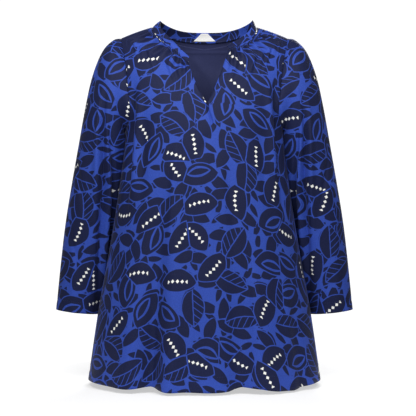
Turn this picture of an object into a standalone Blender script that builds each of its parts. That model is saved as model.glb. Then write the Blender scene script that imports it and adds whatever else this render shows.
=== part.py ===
# A long-sleeved A-line shift dress in soft printed cloth, filled out as worn and hollow inside.
# Metres, +Z up. The front faces -Y and the wearer's left is +X.
# The origin lies between the shoulders, level with the seam of neckband and shoulder.

from collections import namedtuple
from math import acos, asin, copysign, cos, exp, pi, sin

import bmesh
import bpy
from mathutils import Vector

# Cloth
WALL = 0.0015
BAND_WALL = 0.0018  # measured level
LINING_WALL = 0.0010
LABEL_WALL = 0.0010
SEAM_GAP = 0.0003

# Body form: half widths and depths of its level sections
Section = namedtuple("Section", "z half_width front back")
SECTIONS = (
    Section(0.020, 0.2200, 0.070, 0.092),
    Section(-0.060, 0.2170, 0.081, 0.096),
    Section(-0.120, 0.2080, 0.099, 0.102),
    Section(-0.180, 0.1960, 0.115, 0.105),
    Section(-0.240, 0.1820, 0.125, 0.104),
    Section(-0.350, 0.1930, 0.132, 0.102),
    Section(-0.500, 0.2165, 0.141, 0.109),
    Section(-0.650, 0.2435, 0.154, 0.122),
    Section(-0.830, 0.2695, 0.169, 0.138),
)
SQUARE = 2.25  # exponent of the sections, 2 is an ellipse
CENTRE_Y = 0.005  # side and shoulder seams lie in this plane
RIDGE_TOP = 0.019  # shoulder line, extended to the middle
RIDGE_FALL = 1.15  # its fall with the square of x
ROUND = 0.110  # the drop over which the cloth turns from the shoulder to the chest

# Neck, shoulders and armholes
NECK_X = 0.118
BACK_NECK_Z = -0.021
BACK_NECK_RISE = 0.024
BACK_NECK_POWER = 2.6
TIP_X = 0.1905
UNDERARM_Z = -0.240
Armhole = namedtuple("Armhole", "x z lean")
ARMHOLE = {"front": Armhole(0.172, -0.150, 1.5), "back": Armhole(0.179, -0.135, 1.5)}
V_POINT = (0.0065, -0.183)
V_BOW = 0.003
BUST_Z = -0.250
SLIT_END = (0.0175, -0.230)
SLIT_DEPTH = 0.0022
SLIT_HALF_WIDTH = 0.0040
NeckPoint = namedtuple("NeckPoint", "x z")
FRONT_NECK = {
    1: (
        NeckPoint(0.0540, -0.057),
        NeckPoint(0.0730, -0.049),
        NeckPoint(0.0940, -0.038),
        NeckPoint(0.1095, -0.026),
        NeckPoint(0.1170, -0.012),
        NeckPoint(NECK_X, 0.003),
    ),
    -1: (
        NeckPoint(-0.0350, -0.091),
        NeckPoint(-0.0560, -0.071),
        NeckPoint(-0.0820, -0.044),
        NeckPoint(-0.1040, -0.024),
        NeckPoint(-0.1160, -0.010),
        NeckPoint(-NECK_X, 0.003),
    ),
}
GATHERS = 10  # tucks under the band on each side of the front, one to every two columns
GATHER_DEPTH = 0.0016
GATHER_END = 0.26  # share of the rows over which they die out

# Neckband: how far its top edge stands above and inside its seam
# "at" is 0 at the notch on the wearer's right, 1 on the left, and 0.28 and 0.72 at the shoulders.
Stand = namedtuple("Stand", "at rise lean")
STAND = (
    Stand(0.00, 0.015, 0.003),
    Stand(0.135, 0.012, 0.010),
    Stand(0.28, 0.015, 0.013),
    Stand(0.50, 0.021, 0.007),
    Stand(0.72, 0.015, 0.013),
    Stand(0.865, 0.012, 0.011),
    Stand(1.00, 0.008, 0.008),
)
NECK_AXIS_Y = 0.010
BAND_BULGE = 0.0012

# Hem
HEM_SIDE_Z = -0.803
HEM_MIDDLE_DROP = {"front": 0.010, "back": 0.006}
HEM_FOLD_DROP = 0.25  # how much a forward fold lowers the hem, for each metre it stands out
Fold = namedtuple("Fold", "x_top x_hem z_top half_width depth")
FOLDS = {
    "front": (
        Fold(-0.150, -0.172, -0.42, 0.026, 0.009),
        Fold(-0.085, -0.122, -0.28, 0.021, -0.024),
        Fold(-0.052, -0.076, -0.28, 0.024, 0.011),
        Fold(0.010, 0.012, -0.45, 0.034, 0.004),
        Fold(0.070, 0.078, -0.42, 0.026, -0.015),
        Fold(0.120, 0.142, -0.42, 0.030, 0.009),
        Fold(0.190, 0.218, -0.58, 0.012, -0.006),
    ),
    "back": (
        Fold(-0.160, -0.188, -0.50, 0.030, -0.009),
        Fold(-0.110, -0.128, -0.40, 0.032, 0.010),
        Fold(-0.050, -0.066, -0.32, 0.032, -0.016),
        Fold(-0.006, -0.004, -0.40, 0.034, 0.008),
        Fold(0.050, 0.062, -0.34, 0.032, -0.015),
        Fold(0.105, 0.124, -0.42, 0.032, 0.010),
        Fold(0.155, 0.184, -0.50, 0.028, -0.008),
    ),
}

# Sleeves: the line on the outside, the line next to the body, and the depth between front and back
Ring = namedtuple("Ring", "at out_x out_z in_x in_z front_y back_y")
RINGS = (
    Ring(0.045, 0.2110, -0.029, 0.1850, -0.2450, -0.058, 0.070),
    Ring(0.130, 0.2350, -0.055, 0.1865, -0.2580, -0.059, 0.073),
    Ring(0.240, 0.2575, -0.110, 0.1885, -0.2820, -0.056, 0.075),
    Ring(0.350, 0.2735, -0.178, 0.1915, -0.3120, -0.051, 0.076),
    Ring(0.470, 0.2890, -0.262, 0.1965, -0.3520, -0.045, 0.077),
    Ring(0.600, 0.3060, -0.355, 0.2020, -0.4070, -0.036, 0.078),
    Ring(0.730, 0.3215, -0.446, 0.2130, -0.4780, -0.026, 0.081),
    Ring(0.860, 0.3335, -0.540, 0.2285, -0.5610, -0.015, 0.084),
    Ring(1.000, 0.3450, -0.648, 0.2475, -0.6590, -0.006, 0.086),
)
SLEEVE_SQUARE = 2.1
SLEEVE_OFF = 0.0006  # the sleeve starts this far outside the armhole

# Lining and label
LINING_COLUMNS = 13  # of the back's columns, on each side of the middle
LINING_ROWS = (1, 13)  # of the back's rows, from and to
LABEL_OFF = 0.0005
LABEL_WIDTH = 0.054
LABEL_TOP_WIDTH = 0.018
LABEL_HEIGHT = 0.018

# Mesh
# Columns start at the neck seam and run to the hem. Rows start in the middle and run to the
# shoulder seam, then to the armhole, then to the side seam.
COLUMNS = {"front": 20, "back": 16}  # for each half
SHOULDER_ROWS = 4
ARMHOLE_ROWS = 11
SIDE_ROWS = 12
ROWS = SHOULDER_ROWS + ARMHOLE_ROWS + SIDE_ROWS
V_ROWS = 10  # of them start on the edge of the V
TIP_AT = SHOULDER_ROWS / ROWS
UNDERARM_AT = (SHOULDER_ROWS + ARMHOLE_ROWS) / ROWS
V_AT = V_ROWS / ROWS
SLEEVE_ROWS = 20
BAND_ROWS = 3
LABEL_GRID = (4, 2)
STEP = 1e-4  # for slopes

COLOURS = {
    "print": (0.035, 0.060, 0.420, 1.0),
    "navy": (0.026, 0.028, 0.090, 1.0),
    "white": (0.85, 0.85, 0.82, 1.0),
}


def smooth(t):
    t = min(max(t, 0.0), 1.0)
    return t * t * (3 - 2 * t)


def mix(a, b, t):
    return a + (b - a) * t


def read(table, key, at, column):
    # A smooth curve through one column of a table, whose rows lie in order of the key column.
    keys = [getattr(row, key) for row in table]
    values = [getattr(row, column) for row in table]
    if keys[0] > keys[-1]:
        keys, values = keys[::-1], values[::-1]
    at = min(max(at, keys[0]), keys[-1])
    k = max(i for i in range(len(keys) - 1) if keys[i] <= at)

    def slope(i):
        low, high = max(i - 1, 0), min(i + 1, len(keys) - 1)
        return (values[high] - values[low]) / (keys[high] - keys[low])

    width = keys[k + 1] - keys[k]
    t = (at - keys[k]) / width
    return (
        values[k] * (1 + 2 * t) * (1 - t) ** 2
        + values[k + 1] * t * t * (3 - 2 * t)
        + slope(k) * width * t * (1 - t) ** 2
        - slope(k + 1) * width * t * t * (1 - t)
    )


def ridge(x):
    return RIDGE_TOP - RIDGE_FALL * x * x


def form(panel, place):
    # The body form. place is (way round from the middle to the side seam, way down from the shoulder).
    around, down = place
    turned = down < ROUND * pi / 2
    drop = ROUND * (1 - cos(down / ROUND)) if turned else ROUND + down - ROUND * pi / 2
    over = sin(down / ROUND) if turned else 1.0
    across = copysign(abs(sin(around * pi / 2)) ** (2 / SQUARE), around)
    deep = abs(cos(around * pi / 2)) ** (2 / SQUARE)
    z = -drop
    for _ in range(6):
        x = read(SECTIONS, "z", z, "half_width") * across
        z = ridge(x) - drop
    side = -1 if panel == "front" else 1
    depth = read(SECTIONS, "z", z, panel) * deep * over
    return Vector((x, CENTRE_Y + side * (depth + SEAM_GAP / 2), z))


def place_of(x, z):
    # Where the form has this x and z.
    share = min(abs(x) / read(SECTIONS, "z", z, "half_width"), 1.0)
    around = copysign(asin(share ** (SQUARE / 2)) * 2 / pi, x)
    drop = max(ridge(x) - z, 0.0)
    down = ROUND * acos(1 - drop / ROUND) if drop < ROUND else ROUND * pi / 2 + drop - ROUND
    return Vector((around, down))


def normal_of(surface, a, b):
    # The unit normal of a surface whose a ends at -1 and 1 and whose b starts at 0.
    a0, b0 = min(max(a - STEP, -1.0), 1.0 - 2 * STEP), max(b - STEP, 0.0)
    one = surface(a0 + 2 * STEP, b) - surface(a0, b)
    other = surface(a, b0 + 2 * STEP) - surface(a, b0)
    return other.cross(one).normalized()


def fold_height(panel, x, z):
    height = 0.0
    for fold in FOLDS[panel]:
        way = (fold.z_top - z) / (fold.z_top - HEM_SIDE_Z)
        middle = mix(fold.x_top, fold.x_hem, min(max(way, 0.0), 1.0))
        height += fold.depth * smooth(way) * exp(-(((x - middle) / fold.half_width) ** 2))
    return height


def hem_z(panel, x):
    share = x / read(SECTIONS, "z", HEM_SIDE_Z, "half_width")
    middle = HEM_MIDDLE_DROP[panel] * (1 - share * share)
    return HEM_SIDE_Z - middle - HEM_FOLD_DROP * fold_height(panel, x, HEM_SIDE_Z)


def armhole(panel, side, t):
    # From the shoulder tip, t = 0, down to the underarm point, t = 1.
    hole = ARMHOLE[panel]
    if t < 0.5:
        fall = 1 - cos(t * pi)
        x = mix(hole.x, TIP_X, (1 - fall) ** hole.lean)
        return place_of(side * x, mix(ridge(TIP_X), hole.z, fall))
    turn = (t - 0.5) * pi
    start, end = place_of(side * hole.x, hole.z), Vector((side, place_of(side, UNDERARM_Z)[1]))
    around = mix(start[0], side, 1 - cos(turn))
    z = mix(hole.z, UNDERARM_Z, sin(turn))
    x = read(SECTIONS, "z", z, "half_width") * abs(sin(around * pi / 2)) ** (2 / SQUARE)
    return Vector((around, place_of(side * x, z)[1])) if t < 1 else Vector((side, at_side(z)))


def at_side(z):
    return place_of(read(SECTIONS, "z", z, "half_width"), z)[1]


def back_neck_z(x):
    return BACK_NECK_Z + BACK_NECK_RISE * (abs(x) / NECK_X) ** BACK_NECK_POWER


def neck_place(panel, side, t):
    # The neck seam, from the notch or the middle of the back, t = 0, to the shoulder, t = 1.
    if panel == "back":
        x = side * NECK_X * t
        return place_of(x, back_neck_z(x))
    points = FRONT_NECK[side]
    rows = [Stand(i / (len(points) - 1), point.x, point.z) for i, point in enumerate(points)]
    return place_of(read(rows, "at", t, "rise"), read(rows, "at", t, "lean"))


def middle_place(panel, side, v):
    # The inner side of half a panel: the V and the line below it, or the middle of the back.
    hem = hem_z(panel, SLIT_END[0] if panel == "front" else 0.0)
    if panel == "front" and v < V_AT:
        t = v / V_AT
        top = FRONT_NECK[side][0]
        x = mix(top.x, V_POINT[0], t) + side * V_BOW * 4 * t * (1 - t)
        return place_of(x, mix(top.z, V_POINT[1], t))
    start, top = (V_AT, V_POINT[1]) if panel == "front" else (0.0, BACK_NECK_Z)
    if v < UNDERARM_AT:
        z = mix(top, BUST_Z, (v - start) / (UNDERARM_AT - start))
    else:
        z = mix(BUST_Z, hem, (v - UNDERARM_AT) / (1 - UNDERARM_AT))
    if panel == "back":
        return place_of(0.0, z)
    x = mix(V_POINT[0], SLIT_END[0], smooth((z - V_POINT[1]) / (SLIT_END[1] - V_POINT[1])))
    return place_of(x, z)


def side_place(panel, side, v):
    # The outer side of half a panel: the shoulder seam, the armhole and the side seam.
    if v < TIP_AT:
        x = mix(NECK_X, TIP_X, v / TIP_AT)
        return place_of(side * x, ridge(x))
    if v < UNDERARM_AT:
        return armhole(panel, side, (v - TIP_AT) / (UNDERARM_AT - TIP_AT))
    hem = hem_z(panel, read(SECTIONS, "z", HEM_SIDE_Z, "half_width"))
    down = at_side(mix(UNDERARM_Z, hem, (v - UNDERARM_AT) / (1 - UNDERARM_AT)))
    return Vector((side, down))


def hem_place(panel, side, u):
    around = mix(middle_place(panel, side, 1.0)[0], side, u)
    x = read(SECTIONS, "z", HEM_SIDE_Z, "half_width") * abs(sin(around * pi / 2)) ** (2 / SQUARE)
    x = copysign(x, around)
    return Vector((around, place_of(x, hem_z(panel, x))[1]))


def panel_place(panel, side, u, v):
    # Spreads the rows and columns of half a panel between its four sides.
    corners = {
        (i, j): (hem_place if j else neck_place)(panel, side, i) for i in (0, 1) for j in (0, 1)
    }
    blend = neck_place(panel, side, u) * (1 - v) + hem_place(panel, side, u) * v
    blend += middle_place(panel, side, v) * (1 - u) + side_place(panel, side, v) * u
    for (i, j), corner in corners.items():
        blend -= corner * (u if i else 1 - u) * (v if j else 1 - v)
    return blend


def folded(panel, around, down):
    # The form with the folds of the hanging cloth.
    point = form(panel, (around, down))
    height = fold_height(panel, point.x, point.z)
    if panel == "front":
        height -= slit_depth(point.x, point.z)
    if abs(height) < 1e-7:
        return point
    turn = 1 if panel == "front" else -1
    return point + normal_of(lambda a, b: form(panel, (a, b)), around, down) * height * turn


def slit_depth(x, z):
    way = (z - V_POINT[1]) / (SLIT_END[1] - V_POINT[1])
    if not 0 <= way <= 1.3:
        return 0.0
    middle = mix(V_POINT[0], SLIT_END[0], smooth(way))
    return SLIT_DEPTH * (1 - smooth((way - 0.7) / 0.6)) * exp(-(((x - middle) / SLIT_HALF_WIDTH) ** 2))


def panel_point(panel, u, v, inside):
    # A point of a panel's outer face, or that far inside it. u is below 0 on the wearer's right.
    side = 1 if u > 0 else -1
    around, down = panel_place(panel, side, min(abs(u), 1.0), v)
    turn = 1 if panel == "front" else -1
    point = folded(panel, around, down)
    normal = normal_of(lambda a, b: folded(panel, a, b), around, down) * turn
    tuck = 0.0
    if panel == "front":
        fade = smooth(v * ROWS) * (1 - smooth(v / GATHER_END))
        ends = smooth(abs(u) / 0.1) * smooth((1 - abs(u)) / 0.2)
        tuck = -GATHER_DEPTH * cos(2 * pi * GATHERS * abs(u)) * fade * ends
    return point + normal * (tuck - inside)


def finish(name, bm, colour):
    bmesh.ops.recalc_face_normals(bm, faces=bm.faces[:])
    mesh = bpy.data.meshes.new(name)
    bm.to_mesh(mesh)
    bm.free()
    mesh.shade_smooth()
    mesh.set_sharp_from_angle(angle=pi / 4)
    material = bpy.data.materials.new(name)
    material.use_nodes = True
    shader = material.node_tree.nodes["Principled BSDF"]
    shader.inputs["Base Color"].default_value = COLOURS[colour]
    shader.inputs["Roughness"].default_value = 0.6
    shader.inputs["Metallic"].default_value = 0.0
    mesh.materials.append(material)
    piece = bpy.data.objects.new(name, mesh)
    bpy.context.scene.collection.objects.link(piece)


def wall(name, columns, rows, point, thickness, colour, wraps=False, halves=False, slit=False):
    # A wall of cloth: a grid laid on the outer points, closed by its twin on the inner points.
    # point(u, v, inside) has u and v from 0 to 1, or u from -1 to 1 on a piece of two halves.
    bm = bmesh.new()
    bmesh.ops.create_grid(bm, x_segments=columns, y_segments=rows, size=0.5)
    if slit:
        above = [
            edge
            for edge in bm.edges
            if all(abs(v.co.x) < 1e-6 for v in edge.verts)
            and sum(0.5 - v.co.y for v in edge.verts) / 2 < V_AT
        ]
        bmesh.ops.split_edges(bm, edges=above)
    u_of, v_of = bm.verts.layers.float.new("u"), bm.verts.layers.float.new("v")
    for vertex in bm.verts:
        u, v = vertex.co.x + 0.5, 0.5 - vertex.co.y
        if halves:
            middle = sum(face.calc_center_median().x for face in vertex.link_faces)
            u = 2 * vertex.co.x if abs(vertex.co.x) > 1e-6 else copysign(1e-7, middle)
        vertex[u_of], vertex[v_of] = u, v
    for vertex in bm.verts:
        vertex.co = point(vertex[u_of], vertex[v_of], 0.0)
    if wraps:
        bmesh.ops.remove_doubles(bm, verts=bm.verts[:], dist=1e-6)
    twin = bmesh.ops.extrude_face_region(bm, geom=bm.faces[:], use_keep_orig=True)["geom"]
    for vertex in twin:
        if isinstance(vertex, bmesh.types.BMVert):
            vertex.co = point(vertex[u_of], vertex[v_of], thickness)
    finish(name, bm, colour)


def make_panels():
    for panel, columns in COLUMNS.items():
        def point(u, v, inside, panel=panel):
            return panel_point(panel, u, v, inside)

        slit = panel == "front"
        wall(panel, 2 * columns, ROWS, point, WALL, "print", halves=True, slit=slit)


def ring_point(side, row, turn):
    # A point on one ring of a sleeve. turn runs from the outside by way of the front.
    along, across = cos(turn), sin(turn)
    along = copysign(abs(along) ** (2 / SLEEVE_SQUARE), along)
    across = copysign(abs(across) ** (2 / SLEEVE_SQUARE), across)
    return Vector(
        (
            side * ((row.out_x + row.in_x) / 2 + (row.out_x - row.in_x) / 2 * along),
            (row.front_y + row.back_y) / 2 - (row.back_y - row.front_y) / 2 * across,
            (row.out_z + row.in_z) / 2 + (row.out_z - row.in_z) / 2 * along,
        )
    )


SleevePoint = namedtuple("SleevePoint", "at x y z")


def sleeve_line(side, u):
    # The points that one lengthwise line of a sleeve runs through, from the armhole to the hem.
    turn = 2 * pi * (u % 1.0)
    panel = "front" if turn < pi else "back"
    seam = armhole(panel, side, turn / pi if turn < pi else 2 - turn / pi)
    start = form(panel, seam) + Vector((side * SLEEVE_OFF, 0, 0))
    points = [SleevePoint(0.0, *start)]
    points += [SleevePoint(row.at, *ring_point(side, row, turn)) for row in RINGS]
    return points


def sleeve_point(side, u, v, inside):
    def surface(a, b):
        line = sleeve_line(side, a)
        return Vector([read(line, "at", b, column) for column in ("x", "y", "z")])

    normal = normal_of(surface, u, min(v, 1 - STEP)) * -side
    return surface(u, v) - normal * inside


def make_sleeves():
    for side, name in ((1, "sleeve_left"), (-1, "sleeve_right")):
        def point(u, v, inside, side=side):
            return sleeve_point(side, u, v, inside)

        # as many points round the armhole as the two panels have there
        wall(name, 2 * ARMHOLE_ROWS, SLEEVE_ROWS, point, WALL, "print", wraps=True)


def band_seam(u):
    # The neck seam from the notch on the wearer's right, u = 0, by way of the back, to the left.
    side = -1 if u < 0.5 else 1
    from_end = 2 * u if u < 0.5 else 2 - 2 * u  # 0 at the notch, 1 at the middle of the back
    shoulder = COLUMNS["front"] / sum(COLUMNS.values())
    if from_end < shoulder:
        return form("front", neck_place("front", side, from_end / shoulder))
    return form("back", neck_place("back", side, (1 - from_end) / (1 - shoulder)))


def band_place(u, v, inside):
    # v is 0 at the seam and 1 at the top edge. The wall is measured level, towards the neck.
    seam = band_seam(u)
    inward = Vector((-seam.x, NECK_AXIS_Y - seam.y, 0)).normalized()
    rise, lean = read(STAND, "at", u, "rise"), read(STAND, "at", u, "lean")
    level = lean * v + SEAM_GAP - BAND_BULGE * sin(pi * v) + inside
    return seam + Vector((0, 0, SEAM_GAP + rise * v)) + inward * level


def band_point(u, v, inside):
    return band_place(u, 1 - v, inside)


def make_neckband():
    # as many points along the seam as the two panels have there
    wall("neckband", 2 * sum(COLUMNS.values()), BAND_ROWS, band_point, BAND_WALL, "print")


def lining_point(u, v, inside):
    # The back's own points, moved in.
    row = mix(*LINING_ROWS, v) / ROWS
    across = u * LINING_COLUMNS / COLUMNS["back"]
    return panel_point("back", across, row, WALL + SEAM_GAP + inside)


def make_lining():
    rows = LINING_ROWS[1] - LINING_ROWS[0]
    wall("back_lining", 2 * LINING_COLUMNS, rows, lining_point, LINING_WALL, "navy", halves=True)


def label_point(u, v, inside):
    # It lies on the inner face of the neckband, wide end down at the seam.
    length = sum(
        (band_seam(0.5 + (i + 1) / 200) - band_seam(0.5 + i / 200)).length for i in range(10)
    )
    per_metre = 0.05 / length
    x = mix(LABEL_TOP_WIDTH, LABEL_WIDTH, v) * (u - 0.5)
    along = 0.5 + x * per_metre
    height = mix(LABEL_HEIGHT, 0.0, v) / read(STAND, "at", 0.5, "rise") + 0.04
    return band_place(along, height, BAND_WALL + LABEL_OFF + inside)


def make_label():
    wall("label", *LABEL_GRID, label_point, LABEL_WALL, "white")


def main():
    for old in list(bpy.data.objects):
        bpy.data.objects.remove(old, do_unlink=True)
    make_panels()
    make_sleeves()
    make_neckband()
    make_lining()
    make_label()


main()
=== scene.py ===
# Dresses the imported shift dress: a fine cloth shell over each solid, printed outside and
# plain inside. Metres throughout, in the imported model's own frame.
from math import pi, radians

import bmesh
import bpy
import numpy as np
from mathutils import Matrix, Vector


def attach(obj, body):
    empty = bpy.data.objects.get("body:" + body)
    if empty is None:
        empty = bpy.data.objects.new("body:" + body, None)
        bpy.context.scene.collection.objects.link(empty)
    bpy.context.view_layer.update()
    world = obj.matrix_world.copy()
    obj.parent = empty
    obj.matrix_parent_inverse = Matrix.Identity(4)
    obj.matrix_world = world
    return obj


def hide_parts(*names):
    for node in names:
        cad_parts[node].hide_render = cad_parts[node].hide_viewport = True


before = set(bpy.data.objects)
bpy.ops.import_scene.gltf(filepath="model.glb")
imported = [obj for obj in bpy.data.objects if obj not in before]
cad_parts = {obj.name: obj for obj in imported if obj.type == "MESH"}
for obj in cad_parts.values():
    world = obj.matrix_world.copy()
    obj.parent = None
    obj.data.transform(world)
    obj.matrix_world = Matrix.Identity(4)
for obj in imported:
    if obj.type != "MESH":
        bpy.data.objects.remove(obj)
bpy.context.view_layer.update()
print("frame loaded:", ", ".join(sorted(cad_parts)))


# Curves and tables

def smooth(t):
    t = np.clip(t, 0.0, 1.0)
    return t * t * (3 - 2 * t)


def mix(a, b, t):
    return a + (b - a) * t


def follow(rows, at):
    # smooth curves through the rows of a table, whose first column is the key
    table = np.array(sorted(rows, key=lambda row: row[0]), float)
    keys, values = table[:, 0], table[:, 1:]
    spots = np.arange(len(keys))
    low, high = np.maximum(spots - 1, 0), np.minimum(spots + 1, len(keys) - 1)
    slopes = (values[high] - values[low]) / (keys[high] - keys[low])[:, None]
    at = np.clip(at, keys[0], keys[-1])
    k = np.clip(np.searchsorted(keys, at, side="right") - 1, 0, len(keys) - 2)
    width = (keys[k + 1] - keys[k])[..., None]
    t = (at - keys[k])[..., None] / width
    return (
        values[k] * (1 + 2 * t) * (1 - t) ** 2
        + values[k + 1] * t * t * (3 - 2 * t)
        + slopes[k] * width * t * (1 - t) ** 2
        - slopes[k + 1] * width * t * t * (1 - t)
    )


def lengths(points, axis):
    # how far each point of a grid lies along its row or column
    steps = np.linalg.norm(np.diff(points, axis=axis), axis=-1)
    start = np.zeros_like(np.take(steps, [0], axis=axis))
    return np.concatenate([start, np.cumsum(steps, axis=axis)], axis=axis)


def normals(points):
    # unit normals of a grid of points, rows first
    down, across = np.gradient(points, axis=0), np.gradient(points, axis=1)
    made = np.cross(down, across)
    return made / np.maximum(np.linalg.norm(made, axis=-1, keepdims=True), 1e-12)


# Body form

body = {
    "levels": [  # z, half width, depth of the front, depth of the back
        (0.020, 0.2200, 0.070, 0.092),
        (-0.060, 0.2170, 0.081, 0.096),
        (-0.120, 0.2080, 0.099, 0.102),
        (-0.180, 0.1960, 0.115, 0.105),
        (-0.240, 0.1820, 0.125, 0.104),
        (-0.350, 0.1930, 0.132, 0.102),
        (-0.500, 0.2165, 0.141, 0.109),
        (-0.650, 0.2435, 0.154, 0.122),
        (-0.830, 0.2695, 0.169, 0.138),
    ],
    "square": 2.25,  # exponent of the level sections, 2 is an ellipse
    "centreY": 0.005,
    "ridgeTop": 0.019,
    "ridgeFall": 1.15,
    "turnOver": 0.110,  # the drop over which the shoulder turns to the chest
    "rounds": 6,  # of finding the width at a point's own height
}


def ridge(x):
    return body["ridgeTop"] - body["ridgeFall"] * x * x


def level(z, column):
    return follow(body["levels"], z)[..., {"width": 0, "front": 1, "back": 2}[column]]


def bodyForm(panel, place):
    # place is (way round from the middle to the side seam, way down from the shoulder)
    around, down = place[..., 0], place[..., 1]
    turn = body["turnOver"]
    angle = np.clip(down / turn, 0, pi / 2)
    drop = turn * (1 - np.cos(angle)) + np.maximum(down - turn * pi / 2, 0)
    power = 2 / body["square"]
    across = np.sign(around) * np.abs(np.sin(around * pi / 2)) ** power
    deep = np.abs(np.cos(around * pi / 2)) ** power
    z = -drop
    for _ in range(body["rounds"]):
        x = level(z, "width") * across
        z = ridge(x) - drop
    side = -1 if panel == "front" else 1
    depth = level(z, panel) * deep * np.sin(angle)
    return np.stack([x, body["centreY"] + side * depth, z], -1)


def placeOf(x, z):
    # where the form has this x and z
    x, z = np.broadcast_arrays(np.asarray(x, float), np.asarray(z, float))
    turn = body["turnOver"]
    share = np.minimum(np.abs(x) / level(z, "width"), 1.0)
    around = np.copysign(np.arcsin(share ** (body["square"] / 2)) * 2 / pi, x)
    drop = np.maximum(ridge(x) - z, 0.0)
    curved = turn * np.arccos(np.clip(1 - drop / turn, -1, 1))
    return np.stack([around, np.where(drop < turn, curved, turn * pi / 2 + drop - turn)], -1)


# Neck, shoulders, armholes and hem

cut = {
    "neckX": 0.118,
    "backNeckZ": -0.021,
    "backNeckRise": 0.024,
    "backNeckPower": 2.6,
    "tipX": 0.1905,
    "underarmZ": -0.240,
    "armhole": {"front": (0.172, -0.150), "back": (0.179, -0.135)},  # x and z half way
    "armholeLean": 1.5,
    "vPoint": (0.0065, -0.183),
    "vBow": 0.003,
    "bustZ": -0.250,
    "slitEnd": (0.0175, -0.230),
    "slitDepth": 0.0040,
    "slitSpread": 0.0026,
    "slitLap": (0.0014, 0.0018, 0.0075),  # height, how soft its edges are, width
    "slitFade": (0.7, 0.6),  # where it starts to fade, and over how much
    "neckFront": {  # x and z from the notch to the shoulder, by side
        1: [(0.0540, -0.057), (0.0730, -0.049), (0.0940, -0.038),
            (0.1095, -0.026), (0.1170, -0.012), (0.118, 0.003)],
        -1: [(-0.0350, -0.091), (-0.0560, -0.071), (-0.0820, -0.044),
             (-0.1040, -0.024), (-0.1160, -0.010), (-0.118, 0.003)],
    },
    "hemSideZ": -0.803,
    "hemDrop": {"front": 0.010, "back": 0.006},
    "hemFoldDrop": 0.25,
    "hemLift": [  # x and lift of the front's hem
        (-0.270, 0.000), (-0.190, 0.002), (-0.140, 0.004), (-0.080, 0.003), (0.000, 0.002),
        (0.055, 0.002), (0.085, 0.008), (0.125, 0.006), (0.160, -0.001), (0.195, -0.005),
        (0.235, -0.001), (0.270, 0.000),
    ],
    "shoulderRows": 4,
    "armholeRows": 11,
    "sideRows": 12,
    "vRows": 10,
}
allRows = cut["shoulderRows"] + cut["armholeRows"] + cut["sideRows"]
tipAt = cut["shoulderRows"] / allRows
underarmAt = (cut["shoulderRows"] + cut["armholeRows"]) / allRows
vAt = cut["vRows"] / allRows

folds = {  # x at the top and at the hem, z of the top, spread, height
    "front": [
        (-0.150, -0.172, -0.42, 0.026, 0.009),
        (-0.085, -0.122, -0.28, 0.021, -0.024),
        (-0.052, -0.076, -0.28, 0.024, 0.011),
        (0.010, 0.012, -0.45, 0.034, 0.004),
        (0.070, 0.078, -0.42, 0.026, -0.015),
        (0.120, 0.142, -0.42, 0.030, 0.009),
        (0.190, 0.218, -0.58, 0.012, -0.006),
    ],
    "back": [
        (-0.160, -0.188, -0.50, 0.030, -0.009),
        (-0.110, -0.128, -0.40, 0.032, 0.010),
        (-0.050, -0.066, -0.32, 0.032, -0.016),
        (-0.006, -0.004, -0.40, 0.034, 0.008),
        (0.050, 0.062, -0.34, 0.032, -0.015),
        (0.105, 0.124, -0.42, 0.032, 0.010),
        (0.155, 0.184, -0.50, 0.028, -0.008),
    ],
}


def foldHeight(panel, x, z):
    height = 0.0
    for topX, hemX, topZ, spread, tall in folds[panel]:
        way = (topZ - z) / (topZ - cut["hemSideZ"])
        middle = mix(topX, hemX, np.clip(way, 0, 1))
        height = height + tall * smooth(way) * np.exp(-(((x - middle) / spread) ** 2))
    return height


def hemZ(panel, x):
    share = x / level(np.asarray(cut["hemSideZ"]), "width")
    middle = cut["hemDrop"][panel] * (1 - share * share)
    lift = np.interp(x, *np.array(cut["hemLift"]).T) if panel == "front" else 0.0
    waves = cut["hemFoldDrop"] * foldHeight(panel, x, cut["hemSideZ"])
    return cut["hemSideZ"] - middle - waves + lift


def widthAt(around, z):
    return level(z, "width") * np.abs(np.sin(around * pi / 2)) ** (2 / body["square"])


def armhole(panel, side, t):
    # from the shoulder tip, t = 0, down to the underarm point, t = 1
    holeX, holeZ = cut["armhole"][panel]
    fall = 1 - np.cos(np.minimum(t, 0.5) * pi)
    x = mix(holeX, cut["tipX"], np.maximum(1 - fall, 0) ** cut["armholeLean"])
    upper = placeOf(side * x, mix(ridge(cut["tipX"]), holeZ, fall))
    turn = (np.maximum(t, 0.5) - 0.5) * pi
    start = placeOf(side * holeX, holeZ)
    around = mix(start[0], side, 1 - np.cos(turn))
    z = mix(holeZ, cut["underarmZ"], np.sin(turn))
    lower = np.stack([around, placeOf(side * widthAt(around, z), z)[..., 1]], -1)
    return np.where((t < 0.5)[:, None], upper, lower)


def neckPlace(panel, side, t):
    # the neck seam, from the notch or the middle of the back, t = 0, to the shoulder, t = 1
    if panel == "back":
        rise = cut["backNeckRise"] * t ** cut["backNeckPower"]
        return placeOf(side * cut["neckX"] * t, cut["backNeckZ"] + rise)
    points = cut["neckFront"][side]
    rows = [(i / (len(points) - 1), *point) for i, point in enumerate(points)]
    spots = follow(rows, t)
    return placeOf(spots[..., 0], spots[..., 1])


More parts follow.
